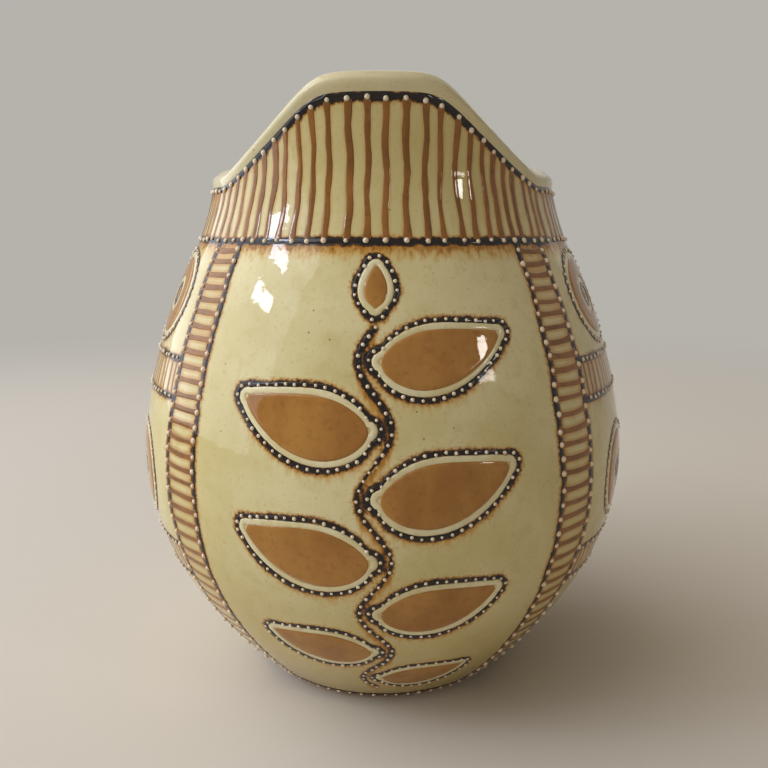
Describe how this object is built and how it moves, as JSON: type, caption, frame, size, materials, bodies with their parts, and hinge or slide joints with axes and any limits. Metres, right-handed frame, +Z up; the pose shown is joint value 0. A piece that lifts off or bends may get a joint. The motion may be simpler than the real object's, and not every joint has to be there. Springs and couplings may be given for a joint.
{
  "type": "pouring jug",
  "caption": "Egg-shaped glazed earthenware jug with a striped collar that rises to a pouring crest, a strap handle and raised trailed slip of leaves, roundels and ladder bands.",
  "frame": {"origin": "centre of the flat base, on the surface the jug stands on", "axes": "+Z up the jug's axis, -Y out of the pouring crest at the front, +Y towards the handle"},
  "size_m": [0.181, 0.2158, 0.2122],
  "materials": {
    "clay": "gloss",
    "tan_slip": "gloss",
    "pale_slip": "gloss",
    "dark_slip": "gloss"
  },
  "bodies": {
    "root": {"body": "clay", "collar": "clay", "rim": "clay", "handle": "clay", "collar_stripes": "tan_slip", "ladder_rungs_front_left": "tan_slip", "ladder_rungs_front_right": "tan_slip", "ladder_rungs_back_left": "tan_slip", "ladder_rungs_back_right": "tan_slip", "front_leaf_fills": "tan_slip", "back_leaf_fills": "tan_slip", "left_roundel_rings": "tan_slip", "right_roundel_rings": "tan_slip", "left_hatch_bars": "tan_slip", "right_hatch_bars": "tan_slip", "front_leaf_halos": "pale_slip", "back_leaf_halos": "pale_slip", "left_roundel_halos": "pale_slip", "right_roundel_halos": "pale_slip", "rim_line": "dark_slip", "collar_foot_line": "dark_slip", "base_line": "dark_slip", "ladder_rails_front_left": "dark_slip", "ladder_rails_front_right": "dark_slip", "ladder_rails_back_left": "dark_slip", "ladder_rails_back_right": "dark_slip", "front_stem": "dark_slip", "front_leaf_outlines": "dark_slip", "back_leaf_outlines": "dark_slip", "left_roundel_lines": "dark_slip", "right_roundel_lines": "dark_slip", "left_hatch_lines": "dark_slip", "right_hatch_lines": "dark_slip"}
  },
  "joints": []
}
